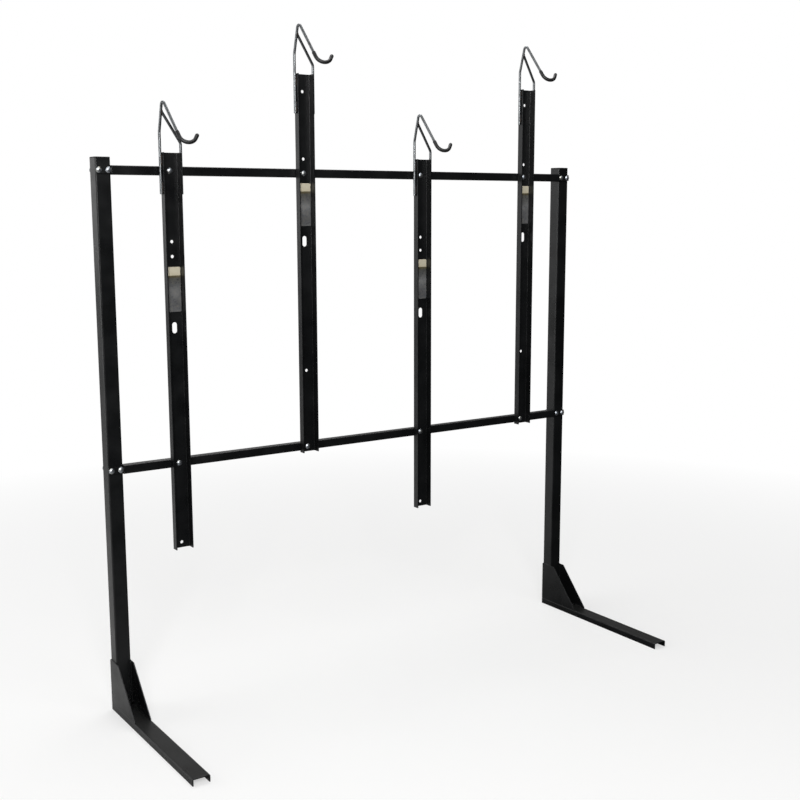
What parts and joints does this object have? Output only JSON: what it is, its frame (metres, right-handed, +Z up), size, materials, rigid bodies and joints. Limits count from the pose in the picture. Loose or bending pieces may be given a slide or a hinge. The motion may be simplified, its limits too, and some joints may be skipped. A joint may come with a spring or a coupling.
{
  "type": "bike rack",
  "caption": "Free-standing steel rack that hangs cycles upright by a wheel on staggered channel posts, each with a coated hook and a rod loop for a lock.",
  "frame": {"origin": "on the floor, at the middle of the footprint: half-way between the uprights, and half-way between the feet's toes and the rearmost bolt end", "axes": "+Z up, +X along the rails to the right as seen by the user in front, -Y towards the user, where the feet and the hooks point"},
  "size_m": [1.722, 0.5832, 1.9926],
  "materials": {
    "powder_coat": "semi-gloss black powder coat",
    "rod_steel": "satin galvanised rod",
    "zinc_plate": "bright zinc plate",
    "black_vinyl": "dipped vinyl, satin",
    "cap_plastic": "moulded, fine grain",
    "label_film": "satin film"
  },
  "bodies": {
    "root": {"left_upright": "powder_coat", "right_upright": "powder_coat", "left_cap": "cap_plastic", "right_cap": "cap_plastic", "left_foot": "powder_coat", "right_foot": "powder_coat", "left_outer_gusset": "powder_coat", "left_inner_gusset": "powder_coat", "right_inner_gusset": "powder_coat", "right_outer_gusset": "powder_coat", "upper_rail": "powder_coat", "lower_rail": "powder_coat", "upper_left_tab": "powder_coat", "upper_right_tab": "powder_coat", "lower_left_tab": "powder_coat", "lower_right_tab": "powder_coat", "rail_bolts": "zinc_plate", "rail_washers": "zinc_plate", "rail_nuts": "zinc_plate", "post_1": "powder_coat", "post_2": "powder_coat", "post_3": "powder_coat", "post_4": "powder_coat", "post_bolts": "zinc_plate", "post_washers": "zinc_plate", "post_nuts": "zinc_plate", "hook_rod_1": "rod_steel", "hook_rod_2": "rod_steel", "hook_rod_3": "rod_steel", "hook_rod_4": "rod_steel", "brace_rod_1": "rod_steel", "brace_rod_2": "rod_steel", "brace_rod_3": "rod_steel", "brace_rod_4": "rod_steel", "hook_sleeve_1": "black_vinyl", "hook_sleeve_2": "black_vinyl", "hook_sleeve_3": "black_vinyl", "hook_sleeve_4": "black_vinyl", "label_1": "label_film", "label_2": "label_film", "label_3": "label_film", "label_4": "label_film"}
  },
  "joints": []
}
